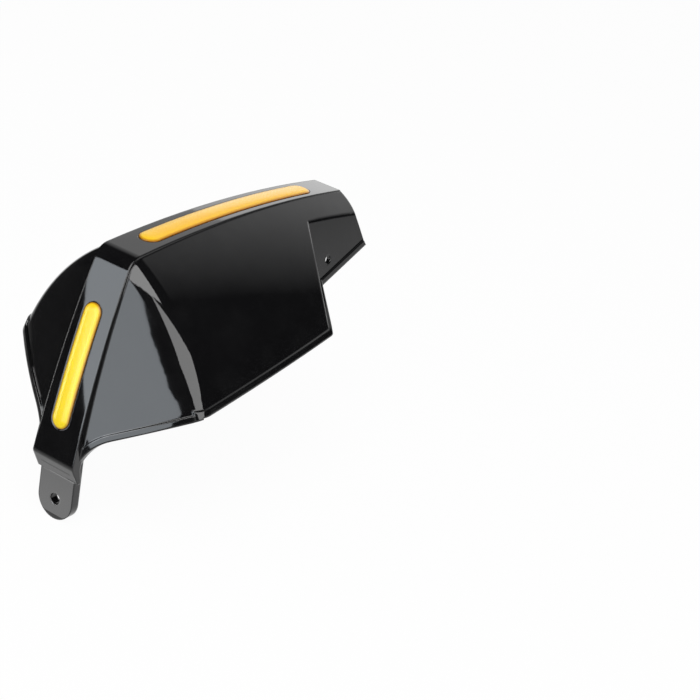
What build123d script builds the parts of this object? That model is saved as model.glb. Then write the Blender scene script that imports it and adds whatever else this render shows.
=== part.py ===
"""Motorcycle hand guard: one moulded shell and the two reflector strips set in its flat spine band."""
import os
from math import asin, cos, degrees, radians, sin, sqrt, tan

from build123d import *

os.makedirs("parts", exist_ok=True)

# Spine band: an arched run from the neck to the bend, then a shorter arched end down to the tab
run_length = 196.4
run_rise = 5.5
end_length = 120.9
end_rise = 3.0
end_lean = 15.3
bend_radius = 10.0
neck_half = 9.9
bend_half = 12.0
end_half = 14.8
run_step = 0.6
end_step = 4.5
band_root = 2.6

# Moulded wall, flank arcs (reach out and drop from the band) and the rounded crease between the flanks
wall = 3.0
core_half = 10.3
flank_mid = (38.0, 36.5)
flank_tip = (61.64, 93.66)
end_flank_mid = (36.0, 14.2)
end_flank_tip = (79.65, 43.84)
far_taper = 0.0012
crease_radius = 12.0
corner_shift = 0.25

# Mounting tab below the end of the band
tab_half = 12.5
tab_thickness = 5.5
tab_setback = 5.9
tab_hole_drop = 27.0
tab_hole_dia = 7.0
tab_root = 18.0
slope_drop = 11.4
slope_round = 4.0

# Free edges, measured from the bend: along the run, out to the side and down
corner_x = 8.2
corner_half = 68.9
corner_drop = 74.2
far_corner_drop = 69.2
skirt_half = 14.4
skirt_rise = 12.0
skirt_share = 0.93
near_tip = (128.0, 63.2, 59.6)
near_root = (160.0, 30.2, 49.0)
far_tip = (157.5, 51.5, 54.5)
far_root = (175.0, 28.0, 34.5)
neck_x = 208.5
neck_low_half = 27.5
neck_drop = 32.7
neck_bulge = 2.0
tip_round = 6.0
root_round = 8.0
lip_width = 3.8
lip_height = 1.0

# Neck pads: the steep lower sides of the neck, the near one drilled
pad_top_half = 23.6
pad_top_drop = 9.5
pad_tilt = 9.5
near_pad_x = 147.5
far_pad_x = 165.0
shoulder_radius = 3.2
least_round = 0.5
neck_hole_x = 168.2
neck_hole_drop = 33.8
neck_hole_dia = 5.5

# Reflector strips and their seats
long_strip_length = 150.5
long_strip_width = 13.0
long_strip_start = 21.5
short_strip_length = 73.0
short_strip_width = 11.6
short_strip_start = 29.5
short_strip_shift = 1.2
strip_body = 1.5
strip_crown = [(0.0, 0.3), (1.0, 1.15), (2.6, 1.5)]
seat_clearance = 0.25
seat_top = [(0.0, 5.0)]

# Directions of the end of the band, and of the plan view that halves the bend
along_end = Vector(-sin(radians(end_lean)), 0, -cos(radians(end_lean)))
out_of_end = Vector(-cos(radians(end_lean)), 0, sin(radians(end_lean)))
plan_up = (Vector(0, 0, 1) + out_of_end).normalized()
plan_along = Vector(plan_up.Z, 0, -plan_up.X)
pad_out = Vector(0, cos(radians(pad_tilt)), sin(radians(pad_tilt)))

# The middle of the tab bolt hole is the origin, so the bend sits up and to one side of it
step_end = along_end * end_length
skirt_drop = -step_end.Z - skirt_rise
skirt_low = step_end.Z - slope_drop / 2
tab_face = step_end.X + tab_setback
bend = Vector(-tab_face - tab_thickness / 2, 0, -step_end.Z + tab_hole_drop)
side_plane = Plane(origin=bend, x_dir=(1, 0, 0), z_dir=(0, -1, 0))
plan_plane = Plane(origin=bend, x_dir=plan_along, z_dir=plan_up)
front_plane = Plane(origin=bend, x_dir=(0, 1, 0), z_dir=(1, 0, 0))

# Generous limits for the solids that are trimmed later
floor_drop = 230.0
back_drop = 320.0
clear_half = 90.0


def arch(x, length, rise, lift=0.0):
    """Height of an arch of the given length and rise, lifted along its radius, at x from the bend."""
    radius = (length**2 / 4 + rise**2) / (2 * rise)
    return rise - radius + sqrt((radius + lift) ** 2 - (x - length / 2) ** 2)


def run_arch(x, lift=0.0):
    """Height of the run of the band."""
    return arch(x, run_length, run_rise, lift)


def end_arch(s):
    """Height of the end of the band."""
    return arch(s, end_length, end_rise)


def plan_u(x, drop):
    """Distance from the bend along the plan view."""
    return x * plan_along.X - drop * plan_along.Z


def flank_arc(top, mid, tip, inset):
    """Start, middle and tip of a flank arc, drawn towards the arc's centre by the inset."""
    points = [Vector(core_half + out, top - drop) for out, drop in ((0, 0), mid, tip)]
    centre = ThreePointArc(*points).arc_center
    start = Vector(core_half - corner_shift * inset, top - inset)
    middle, end = [p + (centre - p).normalized() * inset for p in points[1:]]
    return start, middle, end


def trough_section(plane, top, mid, tip, base, far_scale, inset):
    """Outline with a flat top and two arced flanks, the far one scaled in its reach."""
    near_start, near_middle, near_end = flank_arc(top, mid, tip, inset)
    far_mid = (mid[0] * far_scale, mid[1])
    far_start, far_middle, far_end = flank_arc(top, far_mid, (tip[0] * far_scale, tip[1]), inset)
    with BuildSketch(plane) as outline:
        with BuildLine():
            Line((-near_start.X, near_start.Y), far_start)
            ThreePointArc(far_start, far_middle, far_end)
            Polyline(
                far_end,
                (far_end.X, base - inset),
                (-near_end.X, base - inset),
                (-near_end.X, near_end.Y),
            )
            ThreePointArc(
                (-near_end.X, near_end.Y),
                (-near_middle.X, near_middle.Y),
                (-near_start.X, near_start.Y),
            )
        make_face()
    return outline.sketch


def pad_pocket(side, pad_x, root, tip, inset):
    """Space outside one neck pad, swept along the edge from the root of the flank out to its tip."""
    outward = Vector(0, side * pad_out.Y, pad_out.Z)
    origin = bend + Vector(pad_x - 2 * inset, side * pad_top_half, -pad_top_drop) - outward * inset
    pad = Plane(origin=origin, x_dir=(side, 0, 0), z_dir=outward)
    lean = (root[0] - pad_x) / (root[2] - pad_top_drop)
    way = Vector(tip[0] - root[0], side * (tip[1] - root[1]), root[2] - tip[2])
    down = -1 if pad.y_dir.Z > 0 else 1
    with BuildPart() as pocket:
        with BuildSketch(pad):
            with BuildLine():
                Polyline(
                    (-20 * lean * side, -20 * down),
                    (120 * side, -20 * down),
                    (120 * side, 110 * down),
                    (110 * lean * side, 110 * down),
                    close=True,
                )
            make_face()
        extrude(amount=clear_half, dir=way.normalized())
    return pocket.part


def on_crease(edge):
    """True for the edges along which the run meets the end wall."""
    middle = edge.position_at(0.5) - bend
    across = abs(edge.tangent_at(0.5).dot(plan_along)) < 0.6
    return across and -60 < middle.dot(plan_along) < 20 and middle.Z > -corner_drop


def on_shoulder(edge):
    """True for the outer edges where the flanks turn in to the neck pads."""
    middle = edge.position_at(0.5) - bend
    along = abs(edge.tangent_at(0.5).X)
    turn = along < 0.6 and near_tip[0] - 20 < middle.X < far_pad_x and middle.Z > -corner_drop
    on_neck = middle.X > far_pad_x and abs(middle.Y) > pad_top_half - 8 and middle.Z > -neck_drop
    return edge.geom_type == GeomType.BSPLINE and (turn or (along > 0.9 and on_neck))


def form(inset):
    """Solid inside the skin: the trough of the run met by the end wall, less the spaces beside the neck."""
    with BuildPart() as run_body:
        for x in (-70, -10, 50, 110, 170, 240):
            plane = Plane(origin=bend + Vector(x, 0, 0), x_dir=(0, 1, 0), z_dir=(1, 0, 0))
            top = run_arch(x) - run_step
            far_scale = 1 - far_taper * (x - corner_x)
            add(trough_section(plane, top, flank_mid, flank_tip, -floor_drop, far_scale, inset))
        loft()
    with BuildPart() as end_body:
        for s in (-90, -20, 50, 120, 190):
            plane = Plane(origin=bend + along_end * s, x_dir=(0, 1, 0), z_dir=-along_end)
            top = end_arch(s) - run_step - (end_step - run_step) * s / end_length
            add(trough_section(plane, top, end_flank_mid, end_flank_tip, -back_drop, 1.0, inset))
        loft()
    near = pad_pocket(-1, near_pad_x, near_root, near_tip, inset)
    far = pad_pocket(1, far_pad_x, far_root, far_tip, inset)
    with BuildPart() as body:
        add(run_body.part)
        add(end_body.part, mode=Mode.INTERSECT)
        fillet(body.edges().filter_by(on_crease), crease_radius - inset)
        add(near, mode=Mode.SUBTRACT)
        add(far, mode=Mode.SUBTRACT)
        shoulder = shoulder_radius - max(inset, 0)
        if shoulder > least_round:
            fillet(body.edges().filter_by(on_shoulder), shoulder)
    return body.part


def edge_cut(side, drop, tip, root, grow):
    """Space under one lower edge of the guard, from its corner at the end wall round to the neck."""
    with BuildPart() as space:
        with BuildSketch(side_plane) as profile:
            with BuildLine():
                Polyline(
                    (corner_x, -drop),
                    (tip[0], -tip[2]),
                    (root[0], -root[2]),
                    (neck_x, -neck_drop),
                    (neck_x + 60, -neck_drop),
                    (neck_x + 60, -floor_drop - 20),
                    (corner_x, -floor_drop - 20),
                    close=True,
                )
            make_face()
            fillet(profile.vertices().sort_by_distance((tip[0], -tip[2], 0))[0], tip_round)
            fillet(profile.vertices().sort_by_distance((root[0], -root[2], 0))[0], root_round)
            if grow:
                offset(amount=grow, kind=Kind.INTERSECTION, mode=Mode.REPLACE)
        extrude(amount=-side * clear_half)
    return space.part


def wide_corner(drop, side):
    """Point where the lower edge of the end wall, carried on past its corner, leaves the guard."""
    fall = (skirt_drop - drop) / (corner_half - skirt_half)
    return side * clear_half, -drop + fall * (clear_half - corner_half)


def skirt_radius(drop):
    """Radius of the curve that takes up a share of the edge between the end wall and the tab."""
    start = Vector(skirt_half, -skirt_drop)
    down = Vector(tab_half, skirt_low) - start
    turn = 180 - down.get_angle(Vector(*wide_corner(drop, 1)) - start)
    return skirt_share * down.length / tan(radians(turn / 2))


def outline_keep(inset, neck_extra):
    """Space kept by the plan of the neck end, the skirt that narrows to the tab, and the lower edges."""
    neck_u = plan_u(run_length, 0) + neck_extra
    low_u = plan_u(neck_x, neck_drop) + neck_extra
    tip_u = plan_u(near_tip[0], near_tip[2]) + 20
    neck_middle = ((neck_u + low_u) / 2 + neck_bulge, (neck_half + neck_low_half) / 2)
    with BuildPart() as neck:
        with BuildSketch(plan_plane):
            with BuildLine():
                Line((neck_u, 0), (neck_u, neck_half))
                ThreePointArc((neck_u, neck_half), neck_middle, (low_u, neck_low_half))
                Polyline(
                    (low_u, neck_low_half),
                    (low_u, neck_low_half + 4),
                    (tip_u, clear_half),
                    (-clear_half * 2, clear_half),
                    (-clear_half * 2, 0),
                )
                mirror(about=Plane.XZ)
            make_face()
        extrude(amount=200, both=True)
    with BuildPart() as skirt:
        with BuildSketch(front_plane) as profile:
            with BuildLine():
                Polyline(
                    (tab_half, skirt_low),
                    (skirt_half, -skirt_drop),
                    wide_corner(far_corner_drop, 1),
                    (clear_half, run_rise + 10),
                    (-clear_half, run_rise + 10),
                    wide_corner(corner_drop, -1),
                    (-skirt_half, -skirt_drop),
                    (-tab_half, skirt_low),
                    close=True,
                )
            make_face()
            for side, drop in ((-1, corner_drop), (1, far_corner_drop)):
                corner = profile.vertices().sort_by_distance((side * skirt_half, -skirt_drop, 0))[0]
                fillet(corner, skirt_radius(drop))
            if inset:
                offset(amount=-inset, kind=Kind.INTERSECTION, mode=Mode.REPLACE)
        extrude(amount=300, both=True)
    near = edge_cut(-1, corner_drop, near_tip, near_root, inset)
    far = edge_cut(1, far_corner_drop, far_tip, far_root, inset)
    with BuildPart() as keep:
        add(neck.part)
        add(skirt.part, mode=Mode.INTERSECT)
        add(near, mode=Mode.SUBTRACT)
        add(far, mode=Mode.SUBTRACT)
    return keep.part


def strip_solid(plane, length, rise, start, stop, half, crown):
    """Strip with round ends and a bevelled crown that follows an arch between the middles of its two ends.

    The crown lists the (distance in from the side, height) at which the section turns, from side to top.
    """
    radius = (length**2 / 4 + rise**2) / (2 * rise)
    centre = plane.from_local_coords((length / 2, rise - radius))
    turn_start, turn_stop = [degrees(asin((x - length / 2) / radius)) for x in (start, stop)]

    def section_plane(turn):
        """Plane across the strip at an angle round the arch, its y direction pointing out of the band."""
        spot = (length / 2 + radius * sin(radians(turn)), rise - radius + radius * cos(radians(turn)))
        ahead = (spot[0] + cos(radians(turn)), spot[1] - sin(radians(turn)))
        origin = plane.from_local_coords(spot)
        return Plane(origin=origin, x_dir=-plane.z_dir, z_dir=plane.from_local_coords(ahead) - origin)

    with BuildSketch() as section:
        with BuildLine():
            side = [(half - x, y) for x, y in crown]
            Polyline((0, -strip_body), (half, -strip_body), *side, (0, crown[-1][1]))
            mirror(about=Plane.YZ)
        make_face()
    with BuildSketch() as half_section:
        add(section.sketch)
        Rectangle(half, 40, align=(Align.MIN, Align.CENTER), mode=Mode.INTERSECT)
    first, last = section_plane(turn_start), section_plane(turn_stop)
    with BuildPart() as strip:
        with BuildSketch(first):
            add(section.sketch)
        revolve(axis=Axis(centre, -plane.z_dir), revolution_arc=turn_stop - turn_start)
        for end, way in ((first, 1), (last, -1)):
            with BuildSketch(end):
                add(half_section.sketch)
            revolve(axis=Axis(end.origin, end.y_dir * way), revolution_arc=180)
    return strip.part


skin = form(0)
hollow = form(wall)
trim = outline_keep(0, 0)

with BuildPart() as lip:
    add(form(-lip_height))
    add(form(wall / 2), mode=Mode.SUBTRACT)
    add(trim, mode=Mode.INTERSECT)
    add(outline_keep(lip_width, 40), mode=Mode.SUBTRACT)

foot = Vector(tab_face, step_end.Z - slope_drop)
under_end = step_end - out_of_end * (end_step + band_root)
under_run = run_step + band_root
long_run = run_length + 20
inner_bend = 0.7 * under_run
half_end = along_end * (end_length / 2)
end_middle = half_end + out_of_end * end_rise
under_middle = half_end + out_of_end * (end_rise - (under_run + end_step + band_root) / 2)
with BuildPart() as band:
    with BuildSketch(side_plane) as profile:
        with BuildLine():
            ThreePointArc((long_run, run_arch(long_run)), (run_length / 2, run_rise), (0, 0))
            ThreePointArc((0, 0), (end_middle.X, end_middle.Z), (step_end.X, step_end.Z))
            Polyline(
                (step_end.X, step_end.Z),
                (foot.X, foot.Y),
                (foot.X + tab_thickness / 2, foot.Y),
                (under_end.X, under_end.Z),
            )
            ThreePointArc(
                (under_end.X, under_end.Z),
                (under_middle.X, under_middle.Z),
                (inner_bend, run_arch(inner_bend, -under_run)),
            )
            ThreePointArc(
                (inner_bend, run_arch(inner_bend, -under_run)),
                (run_length / 2, run_rise - under_run),
                (long_run, run_arch(long_run, -under_run)),
            )
            Line((long_run, run_arch(long_run, -under_run)), (long_run, run_arch(long_run)))
        make_face()
        fillet(profile.vertices().sort_by_distance((0, 0, 0))[0], bend_radius)
        fillet(profile.vertices().sort_by_distance((step_end.X, step_end.Z, 0))[0], slope_round)
    extrude(amount=2 * end_half, both=True)
    with BuildSketch(plan_plane):
        with BuildLine():
            Polyline(
                (plan_u(run_length, 0), 0),
                (plan_u(run_length, 0), neck_half),
                (0, bend_half),
                (plan_u(step_end.X, -step_end.Z), end_half),
                (plan_u(foot.X, -foot.Y) - 10, end_half),
                (plan_u(foot.X, -foot.Y) - 10, 0),
            )
            mirror(about=Plane.XZ)
        make_face()
    extrude(amount=250, both=True, mode=Mode.INTERSECT)

long_half = long_strip_width / 2
short_half = short_strip_width / 2
long_ends = (long_strip_start + long_half, long_strip_start + long_strip_length - long_half)
short_ends = (short_strip_start + short_half, short_strip_start + short_strip_length - short_half)
short_plane = Plane(origin=bend + Vector(0, short_strip_shift, 0), x_dir=along_end, z_dir=(0, 1, 0))
long_run_of = (side_plane, run_length, run_rise, *long_ends)
short_run_of = (short_plane, end_length, end_rise, *short_ends)
long_seat = strip_solid(*long_run_of, long_half + seat_clearance, seat_top)
short_seat = strip_solid(*short_run_of, short_half + seat_clearance, seat_top)

with BuildPart() as guard_shell:
    add(skin)
    add(hollow, mode=Mode.SUBTRACT)
    add(trim, mode=Mode.INTERSECT)
    add(lip.part)
    add(band.part)
    with BuildSketch(Plane.YZ):
        Circle(tab_half)
        with Locations((0, (tab_hole_drop + tab_root) / 2)):
            Rectangle(2 * tab_half, tab_hole_drop + tab_root)
    extrude(amount=tab_thickness / 2, both=True)
    with BuildSketch(Plane.YZ):
        Circle(tab_hole_dia / 2)
    extrude(amount=tab_thickness, both=True, mode=Mode.SUBTRACT)
    hole_half = pad_top_half + (neck_hole_drop - pad_top_drop) * tan(radians(pad_tilt))
    hole_spot = bend + Vector(neck_hole_x, -hole_half, -neck_hole_drop)
    with BuildSketch(Plane(origin=hole_spot, x_dir=(1, 0, 0), z_dir=(0, -pad_out.Y, pad_out.Z))):
        Circle(neck_hole_dia / 2)
    extrude(amount=2 * wall, both=True, mode=Mode.SUBTRACT)
    add(long_seat, mode=Mode.SUBTRACT)
    add(short_seat, mode=Mode.SUBTRACT)

with BuildPart() as long_reflector_strip:
    add(strip_solid(*long_run_of, long_half, strip_crown))

with BuildPart() as short_reflector_strip:
    add(strip_solid(*short_run_of, short_half, strip_crown))

guard_shell.part.label = "guard_shell"
export_step(guard_shell.part, "parts/guard_shell.step")
long_reflector_strip.part.label = "long_reflector_strip"
export_step(long_reflector_strip.part, "parts/long_reflector_strip.step")
short_reflector_strip.part.label = "short_reflector_strip"
export_step(short_reflector_strip.part, "parts/short_reflector_strip.step")
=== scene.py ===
"""Studio scene of the motorcycle hand guard: a gloss black shell with two domed amber strips."""

import bmesh
import bpy
import numpy as np
from mathutils import Matrix, Vector


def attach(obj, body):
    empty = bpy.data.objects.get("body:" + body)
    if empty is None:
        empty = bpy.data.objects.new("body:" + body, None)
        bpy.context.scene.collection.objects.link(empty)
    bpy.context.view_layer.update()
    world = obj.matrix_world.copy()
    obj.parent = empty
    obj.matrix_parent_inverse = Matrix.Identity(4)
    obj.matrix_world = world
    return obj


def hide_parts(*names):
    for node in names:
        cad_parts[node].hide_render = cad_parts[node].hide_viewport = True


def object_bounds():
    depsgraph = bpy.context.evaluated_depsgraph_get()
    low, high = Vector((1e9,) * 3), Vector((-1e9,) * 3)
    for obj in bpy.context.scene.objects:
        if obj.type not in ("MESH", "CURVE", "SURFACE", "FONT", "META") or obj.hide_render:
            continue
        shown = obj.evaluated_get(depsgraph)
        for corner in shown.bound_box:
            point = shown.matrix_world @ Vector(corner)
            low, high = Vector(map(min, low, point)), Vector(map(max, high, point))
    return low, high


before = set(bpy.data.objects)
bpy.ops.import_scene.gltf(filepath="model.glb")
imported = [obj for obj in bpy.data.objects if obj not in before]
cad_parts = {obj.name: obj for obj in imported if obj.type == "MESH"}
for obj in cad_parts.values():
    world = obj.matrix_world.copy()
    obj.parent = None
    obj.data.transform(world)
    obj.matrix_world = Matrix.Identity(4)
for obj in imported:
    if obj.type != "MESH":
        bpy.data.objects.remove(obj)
cad_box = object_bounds()

# Sizes of the band that carries the strips, in metres, in the frame of the part
bend = np.array([0.023252, 0.0, 0.143615])
end_lean = np.radians(15.3)
run_arch = {"length": 0.1964, "rise": 0.0055}
end_arch = {"length": 0.1209, "rise": 0.0030}
along_run = np.array([1.0, 0.0, 0.0])
out_of_run = np.array([0.0, 0.0, 1.0])
along_end = np.array([-np.sin(end_lean), 0.0, -np.cos(end_lean)])
out_of_end = np.array([-np.cos(end_lean), 0.0, np.sin(end_lean)])
across_band = np.array([0.0, 1.0, 0.0])

# Reflector strips: where they lie on the band, their heights over it, and the steps of their mesh
long_strip = {"start": 0.0215, "length": 0.1505, "width": 0.0130, "shift": 0.0}
short_strip = {"start": 0.0295, "length": 0.0730, "width": 0.0116, "shift": 0.0012}
strip_body = 0.0015
strip_edge = 0.0003
strip_crown = 0.00149
end_steps = 25
run_steps = 59
dome_rows = 14
merge_distance = 1e-6
# Rows of the wall and the underside: their shares of the half width and of the depth of the body
wall_share = np.array([1.0, 1.0, 0.98, 0.0])
wall_depth = np.array([0.0, 0.9, 1.0, 1.0])

# Camera: the direction it looks from, its roll, its place, its lens and film in millimetres
view_azimuth = -59.74
view_elevation = 24.65
view_roll = 10.9
camera_place = Vector((-0.6265, -0.5323, 0.4938))
camera_lens = 86.9
camera_film = 36.0
camera_far = 20.0

# Soft boxes that show in the gloss. Each row has the name, azimuth, elevation, distance, roll,
# half width, half height, radiance and lean
light_aim = Vector((0.113, 0.0, 0.068))
panels = [
    ("front", -24.5, 19.7, 1.36, -12.0, 0.76, 0.44, 4.2, 9.0),
    ("high_left", -82.0, 42.0, 1.26, 45.0, 0.90, 0.36, 5.5, 20.0),
    ("low_left", -83.4, -0.9, 0.347, 50.0, 0.071, 0.1175, 4.3, -2.0),
    ("near_left", -102.6, 7.3, 0.2521, 18.3, 0.040, 0.079, 4.9, 0.0),
    ("back_right", 106.0, 18.0, 1.2, 0.0, 0.55, 0.22, 0.9, 0.0),
]
cool_panels = ("low_left", "near_left")
cool_white = (0.88, 0.94, 1.0)
# Two small ones, for the tab and for the far edge of the end band
tab_middle = Vector((0.0, 0.0027, 0.0031))
tab_panel = ("before_tab", -90.0, 0.0, 0.006, 0.0, 0.0135, 0.0154, 1.9, 0.0)
band_middle = Vector((0.0, 0.01, 0.075))
edge_panel = ("far_edge", -145.0, 0.0, 0.18, 0.0, 0.024, 0.080, 7.0, 0.0)
# The plain key lamp of the matt light
key_lamp = ("key", -60.0, 55.0, 1.5, 0.0, 0.6, 0.6, 3.4, 0.0)

# The room: its matt light, and what the gloss sees of it, a dim room with a white backdrop
room_light = 0.45
room_gloss = 0.02
backdrop_way = (0.869, 0.282, 0.407)
backdrop_edge = 0.66
backdrop_full = 0.93

# The floor: white to the camera, and to the gloss only from beside the guard towards its right
floor_reach = 3.0
floor_paint = 0.9
floor_glow = 0.96
floor_gloss = 0.04
floor_way = (0.81, -0.59, 0.0)
floor_left_edge = (-0.18, -0.02)
floor_right_fade = (2.0, 0.1)

# Both plastics, and the radius to which the shading of the shell softens its edges
plastic_ior = 1.5
soft_edge_radius = 0.0013

# Sockets of the Mix node when it mixes colours
mix_share, mix_first, mix_second, mix_result = 0, 6, 7, 2


def rgb(red, green, blue):
    return (red, green, blue, 1.0)


def grey(level):
    return rgb(level, level, level)


class Value:
    """A shader socket that takes part in Python arithmetic: each operation adds one Math node."""

    def __init__(self, shader, socket):
        self.shader = shader
        self.socket = socket

    def math(self, operation, first, second):
        sockets = {0: first, 1: second}
        return self.shader.node("ShaderNodeMath", {"operation": operation}, sockets)

    def __add__(self, other):
        return self.math("ADD", self, other)

    def __radd__(self, other):
        return self.math("ADD", other, self)

    def __mul__(self, other):
        return self.math("MULTIPLY", self, other)

    def most(self, other):
        return self.math("MAXIMUM", self, other)


class Shader:
    """A node tree that is built from expressions."""

    def __init__(self, tree):
        self.tree = tree
        tree.nodes.clear()

    def feed(self, socket, value):
        if isinstance(value, Value):
            self.tree.links.new(value.socket, socket)
        else:
            socket.default_value = value

    def node(self, kind, settings=None, sockets=None, out=0):
        """Adds a node with its settings and its sockets, and gives one of its outputs."""
        made = self.tree.nodes.new(kind)
        for key, value in (settings or {}).items():
            setattr(made, key, value)
        for key, value in (sockets or {}).items():
            self.feed(made.inputs[key], value)
        return Value(self, made.outputs[out]) if made.outputs else None

    def place(self):
        return self.node("ShaderNodeTexCoord", out="Object")

    def ray(self, kind):
        return self.node("ShaderNodeLightPath", out=kind)

    def noise(self, place, scale, detail, roughness=0.5):
        sockets = {"Vector": place, "Scale": scale, "Detail": detail, "Roughness": roughness}
        return self.node("ShaderNodeTexNoise", None, sockets)

    def cells(self, place, scale):
        """Distance to the nearest of a scatter of points."""
        sockets = {"Vector": place, "Scale": scale}
        return self.node("ShaderNodeTexVoronoi", {"feature": "F1"}, sockets)

    def dot(self, first, second):
        settings = {"operation": "DOT_PRODUCT"}
        return self.node("ShaderNodeVectorMath", settings, {0: first, 1: second}, "Value")

    def grey_ramp(self, value, low, high):
        """0 at low, 1 at high, straight between them."""
        sockets = {"Value": value, "From Min": low, "From Max": high}
        return self.node("ShaderNodeMapRange", {"clamp": True}, sockets)

    def mix_colour(self, share, first, second):
        sockets = {mix_share: share, mix_first: first, mix_second: second}
        return self.node("ShaderNodeMix", {"data_type": "RGBA"}, sockets, mix_result)

    def mix_shader(self, share, first, second):
        return self.node("ShaderNodeMixShader", None, {0: share, 1: first, 2: second})

    def emission(self, colour):
        return self.node("ShaderNodeEmission", None, {"Color": colour, "Strength": 1.0})

    def bump(self, height, distance, normal=None):
        sockets = {"Height": height, "Distance": distance}
        if normal is not None:
            sockets["Normal"] = normal
        return self.node("ShaderNodeBump", None, sockets)


def new_material(name):
    material = bpy.data.materials.new(name)
    material.use_nodes = True
    return material, Shader(material.node_tree)


def finish_surface(shader, sockets):
    surface = shader.node("ShaderNodeBsdfPrincipled", None, sockets)
    shader.node("ShaderNodeOutputMaterial", None, {"Surface": surface})


def add_object(name, data):
    added = bpy.data.objects.new(name, data)
    bpy.context.scene.collection.objects.link(added)
    return added


def black_plastic():
    """Gloss black moulded plastic: soft edges, faint mould waves, fine grain, haze and dust."""
    clean_black = rgb(0.0045, 0.0045, 0.0050)
    hazy_black = rgb(0.0075, 0.0075, 0.0080)
    dust_grey = grey(0.10)
    dust_cover = 0.35
    gloss_roughness = 0.035
    wave_depth = 0.00008
    grain_depth = 0.01
    material, s = new_material("black_plastic")
    place = s.place()
    soft_edges = s.node("ShaderNodeBevel", {"samples": 8}, {"Radius": soft_edge_radius})
    wave = s.noise(place, scale=26.0, detail=1.0)
    grain = s.noise(place, scale=900.0, detail=2.0)
    haze = s.grey_ramp(s.noise(place, scale=55.0, detail=5.0, roughness=0.62), low=0.45, high=0.75)
    specks = s.grey_ramp(s.cells(place, scale=420.0), low=0.05, high=0.02)
    dusty = s.grey_ramp(s.noise(place, scale=18.0, detail=2.0), low=0.5, high=0.7)
    dust = specks * dusty
    colour = s.mix_colour(haze, clean_black, hazy_black)
    colour = s.mix_colour(dust * dust_cover, colour, dust_grey)
    finish_surface(s, {
        "Base Color": colour,
        "Roughness": gloss_roughness + haze * 0.02 + grain * 0.008 + dust * 0.25,
        "Normal": s.bump(wave + grain * grain_depth, distance=wave_depth, normal=soft_edges),
        "IOR": plastic_ior,
    })
    return material


def amber_reflector():
    """Amber reflector: a clear domed face over a warm backing with a fine cell grain.

    The rim attribute runs from 0 on the middle line of a strip to 1 at its side, where the colour
    deepens to brown: partly the strip's own deeper edge, partly painted shade of the gap round its
    seat. The strip on the end is lemon, the one on the run amber and paler on its far side, where
    the paler colour is a painted sheen.
    """
    deep_lemon, light_lemon = rgb(1.0, 0.72, 0.002), rgb(1.0, 0.80, 0.005)
    deep_amber, light_amber = rgb(1.0, 0.53, 0.018), rgb(1.0, 0.61, 0.030)
    # Paler amber of a painted sheen, laid over the far side of the run strip
    sheen_amber = rgb(1.0, 0.76, 0.20)
    cell_orange = rgb(0.90, 0.38, 0.004)
    # Brown of the rim: the strip's own deeper edge, and painted shade of the gap round its seat
    rim_brown_and_shade = rgb(0.34, 0.09, 0.003)
    sheen_cover, cell_cover, rim_and_shade_cover = 0.45, 0.14, 0.85
    face_roughness = 0.22
    material, s = new_material("amber_reflector")
    place = s.place()
    along = s.node("ShaderNodeSeparateXYZ", None, {0: place}, "X")
    across = s.node("ShaderNodeSeparateXYZ", None, {0: place}, "Y")
    rim = s.node("ShaderNodeAttribute", {"attribute_name": "rim"}, out="Fac")
    cells = s.cells(place, scale=1500.0)
    cloud = s.noise(place, scale=40.0, detail=2.0)
    on_run = s.grey_ramp(along, low=0.0, high=0.06)
    # Painted sheen: the far side of the run strip is paled, as if its gloss caught the light there
    painted_sheen = s.grey_ramp(across, low=0.0, high=0.006) * sheen_cover
    # Partly painted shade: the side and wall of each strip deepen to brown, as the gap round its
    # seat would shade them
    rim_colour_and_shade = s.grey_ramp(rim, low=0.78, high=0.98) * rim_and_shade_cover
    end_colour = s.mix_colour(cloud, deep_lemon, light_lemon)
    run_colour = s.mix_colour(cloud, deep_amber, light_amber)
    run_colour = s.mix_colour(painted_sheen, run_colour, sheen_amber)
    colour = s.mix_colour(on_run, end_colour, run_colour)
    colour = s.mix_colour(cells * cell_cover, colour, cell_orange)
    colour = s.mix_colour(rim_colour_and_shade, colour, rim_brown_and_shade)
    finish_surface(s, {
        "Base Color": colour,
        "Roughness": face_roughness + cells * 0.08,
        "Normal": s.bump(cells, distance=0.00002),
        "IOR": plastic_ior,
        "Specular IOR Level": 0.25,
        "Coat Weight": 0.12,
        "Coat Roughness": 0.08,
    })
    return material


def mesh_piece(name, points, faces, rim, material):
    """A piece at the origin, with its doubled points merged and its faces turned outwards."""
    mesh = bpy.data.meshes.new(name)
    mesh.from_pydata(points.tolist(), [], faces.tolist())
    mesh.attributes.new("rim", "FLOAT", "POINT").data.foreach_set("value", rim)
    build = bmesh.new()
    build.from_mesh(mesh)
    bmesh.ops.remove_doubles(build, verts=build.verts, dist=merge_distance)
    bmesh.ops.recalc_face_normals(build, faces=build.faces)
    build.to_mesh(mesh)
    build.free()
    mesh.shade_smooth()
    mesh.materials.append(material)
    return add_object(name, mesh)


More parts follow.
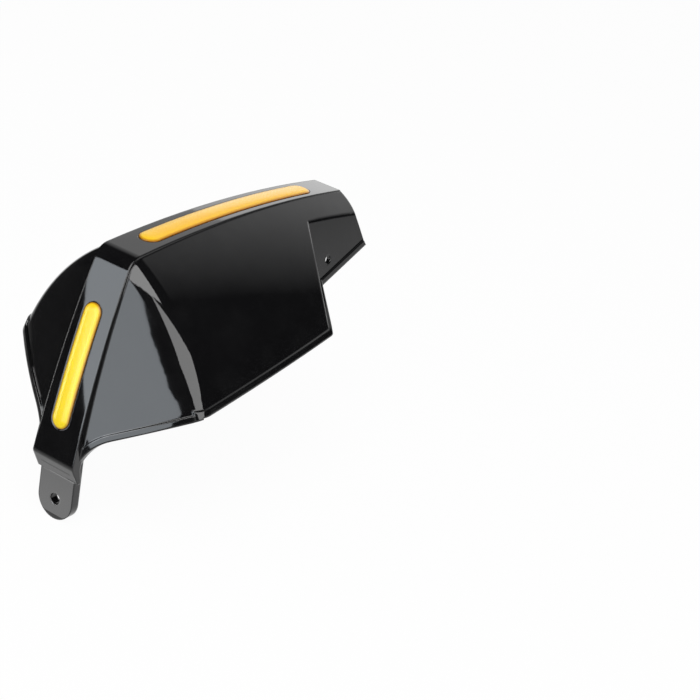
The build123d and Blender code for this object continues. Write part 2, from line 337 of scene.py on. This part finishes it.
def domed_strip(name, node, strip, arch, along, out, material):
    """Domed strip on an arch of the band.

    The outline is a stadium. At a share r of the way from its middle line to its rim the dome
    stands at edge + (crown - edge) * (1 - r**3), and past the rim the wall goes down to the seat.
    The flat strip is then wrapped onto the arch: distance along becomes an angle, height a radius.
    """
    half = strip["width"] / 2
    radius = (arch["length"] ** 2 / 4 + arch["rise"] ** 2) / (2 * arch["rise"])
    middle = strip["start"] + strip["length"] / 2 - arch["length"] / 2
    straight = strip["length"] / 2 - half
    right_angle = np.pi / 2
    # Once round the stadium: the middle each point belongs to, and its direction from there
    turn = np.linspace(0, np.pi, end_steps)
    run = np.linspace(-1, 1, run_steps + 2)[1:-1] * straight
    at_end = np.full(end_steps, straight)
    beside_run = np.full(run_steps, right_angle)
    centre = np.concatenate([at_end, -run, -at_end, run])
    lean = np.concatenate([right_angle - turn, -beside_run, -right_angle - turn, beside_run])
    # From the middle line out over the dome, then down the wall and back under the strip
    dome_share = np.sin(np.linspace(0, right_angle, dome_rows))
    dome = strip_edge + (strip_crown - strip_edge) * (1 - dome_share ** 3)
    share = np.concatenate([dome_share, wall_share])
    lift = np.concatenate([dome, -strip_body * wall_depth])
    x = centre[None, :] + half * share[:, None] * np.cos(lean)[None, :]
    y = half * share[:, None] * np.sin(lean)[None, :] + strip["shift"]
    z = np.broadcast_to(lift[:, None], x.shape)
    angle = (middle + x) / radius
    forward = arch["length"] / 2 + (radius + z) * np.sin(angle)
    upward = arch["rise"] - radius + (radius + z) * np.cos(angle)
    points = (bend + forward[..., None] * along + upward[..., None] * out
              + y[..., None] * across_band)
    rows, columns = x.shape
    index = np.arange(rows * columns).reshape(rows, columns)
    beside = np.roll(index, -1, axis=1)
    faces = np.stack([index[:-1], beside[:-1], beside[1:], index[1:]], axis=-1).reshape(-1, 4)
    rim = np.repeat(share, columns)
    piece = mesh_piece(name, points.reshape(-1, 3), faces, rim, material)
    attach(piece, "root")
    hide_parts(node)


def turned(azimuth, elevation, roll, lean=0.0):
    """The way out in a direction, and the turn of what stands there and looks back.

    Azimuth 0 is -Y and 90 is +X. What stands there is rolled about the way out, then leaned about
    its own width.
    """
    turn, rise, spin, tip = np.radians([azimuth, elevation, roll, lean])
    flat = np.cos(rise)
    outward = np.array([np.sin(turn) * flat, -np.cos(turn) * flat, np.sin(rise)])
    level = np.array([np.cos(turn), np.sin(turn), 0.0])
    upright = np.cross(outward, level)
    wide = level * np.cos(spin) + upright * np.sin(spin)
    tall = upright * np.cos(spin) - level * np.sin(spin)
    tall = tall * np.cos(tip) + outward * np.sin(tip)
    axes = np.stack([wide, tall, np.cross(wide, tall)], axis=1)
    return Vector(outward), Matrix(axes.tolist()).to_4x4()


def soft_panel(name, azimuth, elevation, distance, roll, half_width, half_height, radiance, lean,
               aim=light_aim):
    """A rectangular soft box at a distance from the point it aims at.

    Its power is its radiance times pi times its area.
    """
    outward, turn = turned(azimuth, elevation, roll, lean)
    lamp = bpy.data.lights.new(name, "AREA")
    lamp.shape = "RECTANGLE"
    lamp.size, lamp.size_y = 2 * half_width, 2 * half_height
    lamp.energy = radiance * np.pi * lamp.size * lamp.size_y
    if name in cool_panels:
        lamp.color = cool_white
    panel = add_object(name, lamp)
    panel.matrix_world = Matrix.Translation(aim + outward * distance) @ turn
    return panel


def studio_world():
    """White to the camera; a backdrop in a dim room to the gloss; soft grey to the rest."""
    world = bpy.data.worlds.new("studio")
    world.use_nodes = True
    bpy.context.scene.world = world
    s = Shader(world.node_tree)
    seen = s.ray("Is Camera Ray").most(s.ray("Is Transmission Ray"))
    way = s.node("ShaderNodeTexCoord", out="Generated")
    backdrop = s.grey_ramp(s.dot(way, backdrop_way), backdrop_edge, backdrop_full)
    mirrored = s.mix_colour(backdrop, grey(room_gloss), grey(1.0))
    colour = s.mix_colour(s.ray("Is Glossy Ray"), grey(room_light), mirrored)
    colour = s.mix_colour(seen, colour, grey(1.0))
    background = s.node("ShaderNodeBackground", None, {"Color": colour, "Strength": 1.0})
    s.node("ShaderNodeOutputWorld", None, {"Surface": background})


def photo_camera():
    """The camera at its place, looking back along its direction, with its roll."""
    data = bpy.data.cameras.new("camera")
    data.lens = camera_lens
    data.sensor_width = camera_film
    data.clip_end = camera_far
    camera = add_object("camera", data)
    outward, turn = turned(view_azimuth, view_elevation, view_roll)
    camera.matrix_world = Matrix.Translation(camera_place) @ turn
    bpy.context.scene.camera = camera


def pale_floor():
    """A wide white floor under the lowest point of the tab.

    To the gloss it fades out along one direction: quickly to the left of the guard, slowly to the
    right of it.
    """
    material, s = new_material("floor_white")
    seen = s.ray("Is Camera Ray").most(s.ray("Is Transmission Ray"))
    side = s.dot(s.place(), floor_way)
    white = s.grey_ramp(side, *floor_left_edge) * s.grey_ramp(side, *floor_right_fade)
    paint = s.node("ShaderNodeBsdfDiffuse", None, {"Color": grey(floor_paint)})
    mirrored = s.emission(s.mix_colour(white, grey(floor_gloss), grey(1.0)))
    surface = s.mix_shader(seen * floor_glow, paint, s.emission(grey(1.0)))
    surface = s.mix_shader(s.ray("Is Glossy Ray"), surface, mirrored)
    s.node("ShaderNodeOutputMaterial", None, {"Surface": surface})
    low = cad_box[0].z
    signs = [(-1, -1), (1, -1), (1, 1), (-1, 1)]
    corners = [(a * floor_reach, b * floor_reach, low) for a, b in signs]
    mesh = bpy.data.meshes.new("floor")
    mesh.from_pydata(corners, [], [(0, 1, 2, 3)])
    mesh.materials.append(material)
    floor = add_object("floor", mesh)


bpy.context.scene.view_settings.view_transform = "Standard"
photo_camera()
studio_world()
pale_floor()
for row in panels:
    soft_panel(*row).visible_diffuse = False
soft_panel(*tab_panel, aim=tab_middle).visible_diffuse = False
soft_panel(*edge_panel, aim=band_middle).visible_diffuse = False
soft_panel(*key_lamp).visible_glossy = False

black = black_plastic()
amber = amber_reflector()
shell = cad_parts["guard_shell"].data
shell.materials.clear()
shell.materials.append(black)
domed_strip("long_strip_dome", "long_reflector_strip", long_strip, run_arch,
            along_run, out_of_run, amber)
domed_strip("short_strip_dome", "short_reflector_strip", short_strip, end_arch,
            along_end, out_of_end, amber)
